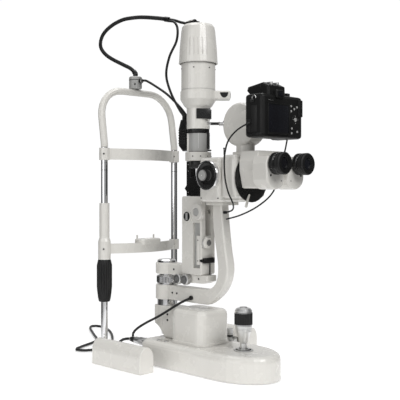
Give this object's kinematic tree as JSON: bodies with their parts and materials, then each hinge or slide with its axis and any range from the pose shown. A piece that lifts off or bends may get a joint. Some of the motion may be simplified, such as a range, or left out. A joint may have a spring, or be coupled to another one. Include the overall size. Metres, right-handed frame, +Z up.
{
  "type": "slit lamp",
  "caption": "White slit lamp on a cross-slide base with joystick, swinging lamp and microscope arms, camera, headrest and rails.",
  "frame": {"origin": "centre of the base, on the surface that it stands on", "axes": "+X operator's right, +Y towards the patient, +Z up"},
  "size_m": [0.3505, 0.775, 0.7568],
  "materials": {
    "white_enamel": "satin",
    "grey_plastic": "matt",
    "black_plastic": "satin",
    "black_rubber": "matt",
    "lead_sheath": "satin",
    "chrome": "polished",
    "brushed_steel": "brushed"
  },
  "bodies": {
    "headrest_and_rails": {"headrest_rod_left": "chrome", "headrest_rod_right": "chrome", "headrest_loop": "white_enamel", "brow_band": "white_enamel", "rail_cover_left": "white_enamel", "rail_cover_right": "white_enamel", "guide_rail_left": "brushed_steel", "guide_rail_right": "brushed_steel", "power_lead": "lead_sheath"},
    "fixation_arm": {"fixation_holder": "grey_plastic", "fixation_gooseneck": "black_rubber"},
    "chin_carrier": {"chin_rest": "white_enamel"},
    "chin_handle_nut": {"chin_handle": "black_rubber"},
    "axle": {"cross_axle": "brushed_steel"},
    "wheel_left": {"track_wheel_left": "brushed_steel"},
    "wheel_right": {"track_wheel_right": "brushed_steel"},
    "base": {"base_housing": "white_enamel", "base_plate": "grey_plastic", "tower_cover": "white_enamel", "base_socket": "brushed_steel", "arm_lead": "lead_sheath"},
    "stage_lock": {"stage_lock_knob": "grey_plastic"},
    "stick_gimbal": {"joystick_gimbal": "brushed_steel"},
    "stick": {"joystick_stem": "chrome"},
    "stick_grip": {"joystick_grip": "black_rubber", "joystick_cap": "chrome"},
    "lift": {"lift_column": "chrome"},
    "lamp_arm": {"illumination_arm": "white_enamel", "illumination_post": "white_enamel", "prism_housing": "black_plastic", "slit_collar": "white_enamel", "slit_barrel": "grey_plastic", "connector_block": "black_plastic", "hose_end_lead": "lead_sheath", "lamp_side_lead": "lead_sheath", "fixation_lead": "lead_sheath"},
    "slit_knobs": {"slit_width_knob_left": "white_enamel", "slit_width_knob_right": "white_enamel"},
    "centring": {"centring_knob": "white_enamel"},
    "lock_front": {"lock_knob_front": "brushed_steel"},
    "lock_rear": {"lock_knob_rear": "brushed_steel"},
    "lamp": {"lamp_housing": "white_enamel", "lamp_hood": "white_enamel"},
    "aperture": {"aperture_wheel": "black_plastic"},
    "filter": {"filter_lever": "chrome"},
    "scope_arm": {"microscope_arm": "white_enamel", "microscope_body": "white_enamel", "beam_splitter": "white_enamel", "dovetail_flange": "black_plastic", "binocular_housing": "white_enamel", "camera_tube": "white_enamel", "camera_body": "black_plastic", "camera_lead": "lead_sheath"},
    "drum": {"magnification_knob_left": "grey_plastic", "magnification_knob_right": "grey_plastic"},
    "house_left": {"prism_house_left": "white_enamel"},
    "house_right": {"prism_house_right": "white_enamel"},
    "eye_left": {"eyepiece_left": "black_plastic"},
    "eye_right": {"eyepiece_right": "black_plastic"},
    "shutter": {"shutter_button": "black_plastic"}
  },
  "joints": [
    {"name": "fixation_swing", "type": "hinge", "parent": "headrest_and_rails", "child": "fixation_arm", "pos_m": [0, 0.245, 0.5888], "axis": [0, 0, 1], "range_deg": [-45, 45], "deforming": ["hose_end_lead", "lamp_side_lead", "fixation_lead"]},
    {"name": "chin_rest_height", "type": "slide", "parent": "headrest_and_rails", "child": "chin_carrier", "axis": [0, 0, 1], "range_m": [-0.03, 0.05]},
    {"name": "chin_handle_turn", "type": "hinge", "parent": "chin_carrier", "child": "chin_handle_nut", "pos_m": [-0.102, 0.227, 0.125], "axis": [0, 0, 1], "range_deg": [-541, 901]},
    {"name": "base_fore_aft", "type": "slide", "parent": "headrest_and_rails", "child": "axle", "axis": [0, 1, 0], "range_m": [-0.035, 0.055], "deforming": ["hose_end_lead", "lamp_side_lead", "fixation_lead", "power_lead"]},
    {"name": "wheel_left_roll", "type": "hinge", "parent": "axle", "child": "wheel_left", "pos_m": [-0.12325, 0.12, 0.02], "axis": [1, 0, 0], "range_deg": [-234, 149]},
    {"name": "wheel_right_roll", "type": "hinge", "parent": "axle", "child": "wheel_right", "pos_m": [0.19075, 0.12, 0.02], "axis": [1, 0, 0], "range_deg": [-234, 149]},
    {"name": "base_sideways", "type": "slide", "parent": "axle", "child": "base", "axis": [1, 0, 0], "range_m": [-0.03, 0.08], "deforming": ["hose_end_lead", "lamp_side_lead", "fixation_lead", "power_lead"]},
    {"name": "stage_lock_turn", "type": "hinge", "parent": "base", "child": "stage_lock", "pos_m": [0.0525, 0.004, 0.0503], "axis": [0, 0, 1], "range_deg": [0, 90]},
    {"name": "joystick_fore_aft", "type": "hinge", "parent": "base", "child": "stick_gimbal", "pos_m": [0, -0.08, 0.05], "axis": [1, 0, 0], "range_deg": [-12, 12]},
    {"name": "joystick_sideways", "type": "hinge", "parent": "stick_gimbal", "child": "stick", "pos_m": [0, -0.08, 0.05], "axis": [0, 1, 0], "range_deg": [-12, 12]},
    {"name": "joystick_twist", "type": "hinge", "parent": "stick", "child": "stick_grip", "pos_m": [0, -0.08, 0.0997], "axis": [0, 0, 1], "range_deg": [0, 721]},
    {"name": "lift", "type": "slide", "parent": "base", "child": "lift", "axis": [0, 0, 1], "range_m": [0, 0.03], "deforming": ["hose_end_lead", "lamp_side_lead", "fixation_lead", "arm_lead"]},
    {"name": "lamp_arm_swing", "type": "hinge", "parent": "lift", "child": "lamp_arm", "pos_m": [0, 0.1413, 0.184], "axis": [0, 0, 1], "range_deg": [-60, 60], "deforming": ["hose_end_lead", "lamp_side_lead", "fixation_lead"]},
    {"name": "microscope_arm_swing", "type": "hinge", "parent": "lift", "child": "scope_arm", "pos_m": [0, 0.1413, 0.13], "axis": [0, 0, 1], "range_deg": [-60, 60], "deforming": ["arm_lead"]},
    {"name": "slit_width_turn", "type": "hinge", "parent": "lamp_arm", "child": "slit_knobs", "pos_m": [0, 0.022, 0.3186], "axis": [1, 0, 0], "range_deg": [-90, 90]},
    {"name": "centring_turn", "type": "hinge", "parent": "lamp_arm", "child": "centring", "pos_m": [-0.008, 0.0162, 0.256], "axis": [0, 1, 0], "range_deg": [-90, 90]},
    {"name": "front_lock_turn", "type": "hinge", "parent": "lamp_arm", "child": "lock_front", "pos_m": [-0.0143, 0.0586, 0.1785], "axis": [1, 0, 0], "range_deg": [0, 120]},
    {"name": "rear_lock_turn", "type": "hinge", "parent": "lamp_arm", "child": "lock_rear", "pos_m": [-0.0143, 0.081, 0.1785], "axis": [1, 0, 0], "range_deg": [0, 120]},
    {"name": "lamp_turn", "type": "hinge", "parent": "lamp_arm", "child": "lamp", "pos_m": [0, 0.045, 0.4883], "axis": [0, 0, 1], "range_deg": [-90, 90], "deforming": ["hose_end_lead", "lamp_side_lead", "fixation_lead"]},
    {"name": "aperture_turn", "type": "hinge", "parent": "lamp", "child": "aperture", "pos_m": [0.00601, 0.03899, 0.509], "axis": [0, 0, 1], "continuous": true},
    {"name": "filter_swing", "type": "hinge", "parent": "lamp", "child": "filter", "pos_m": [0, 0.045, 0.5], "axis": [0, 0, 1], "range_deg": [-25, 25]},
    {"name": "magnification_turn", "type": "hinge", "parent": "scope_arm", "child": "drum", "pos_m": [0, -0.03, 0.3915], "axis": [1, 0, 0], "continuous": true},
    {"name": "prism_house_left_turn", "type": "hinge", "parent": "scope_arm", "child": "house_left", "pos_m": [-0.0285, -0.1503, 0.391], "axis": [0, 1, 0], "range_deg": [-5, 10]},
    {"name": "prism_house_right_turn", "type": "hinge", "parent": "scope_arm", "child": "house_right", "pos_m": [0.0285, -0.1503, 0.391], "axis": [0, 1, 0], "range_deg": [-10, 5]},
    {"name": "eyepiece_left_turn", "type": "hinge", "parent": "house_left", "child": "eye_left", "pos_m": [-0.034, -0.1863, 0.4116], "axis": [0, 1, 0], "range_deg": [-90, 90]},
    {"name": "eyepiece_right_turn", "type": "hinge", "parent": "house_right", "child": "eye_right", "pos_m": [0.034, -0.1863, 0.4116], "axis": [0, 1, 0], "range_deg": [-90, 90]},
    {"name": "shutter_press", "type": "slide", "parent": "scope_arm", "child": "shutter", "axis": [0, 0, -1], "range_m": [0, 0.0015], "stiffness_N_per_m": 600}
  ],
  "couplings": [
    {"joint": "chin_handle_turn", "follows": "chin_rest_height", "rad_per_m": 314.16},
    {"joint": "wheel_left_roll", "follows": "base_fore_aft", "rad_per_m": -74.074},
    {"joint": "wheel_right_roll", "follows": "base_fore_aft", "rad_per_m": -74.074},
    {"joint": "joystick_twist", "follows": "lift", "rad_per_m": 418.88},
    {"joint": "prism_house_right_turn", "follows": "prism_house_left_turn", "ratio": -1}
  ]
}
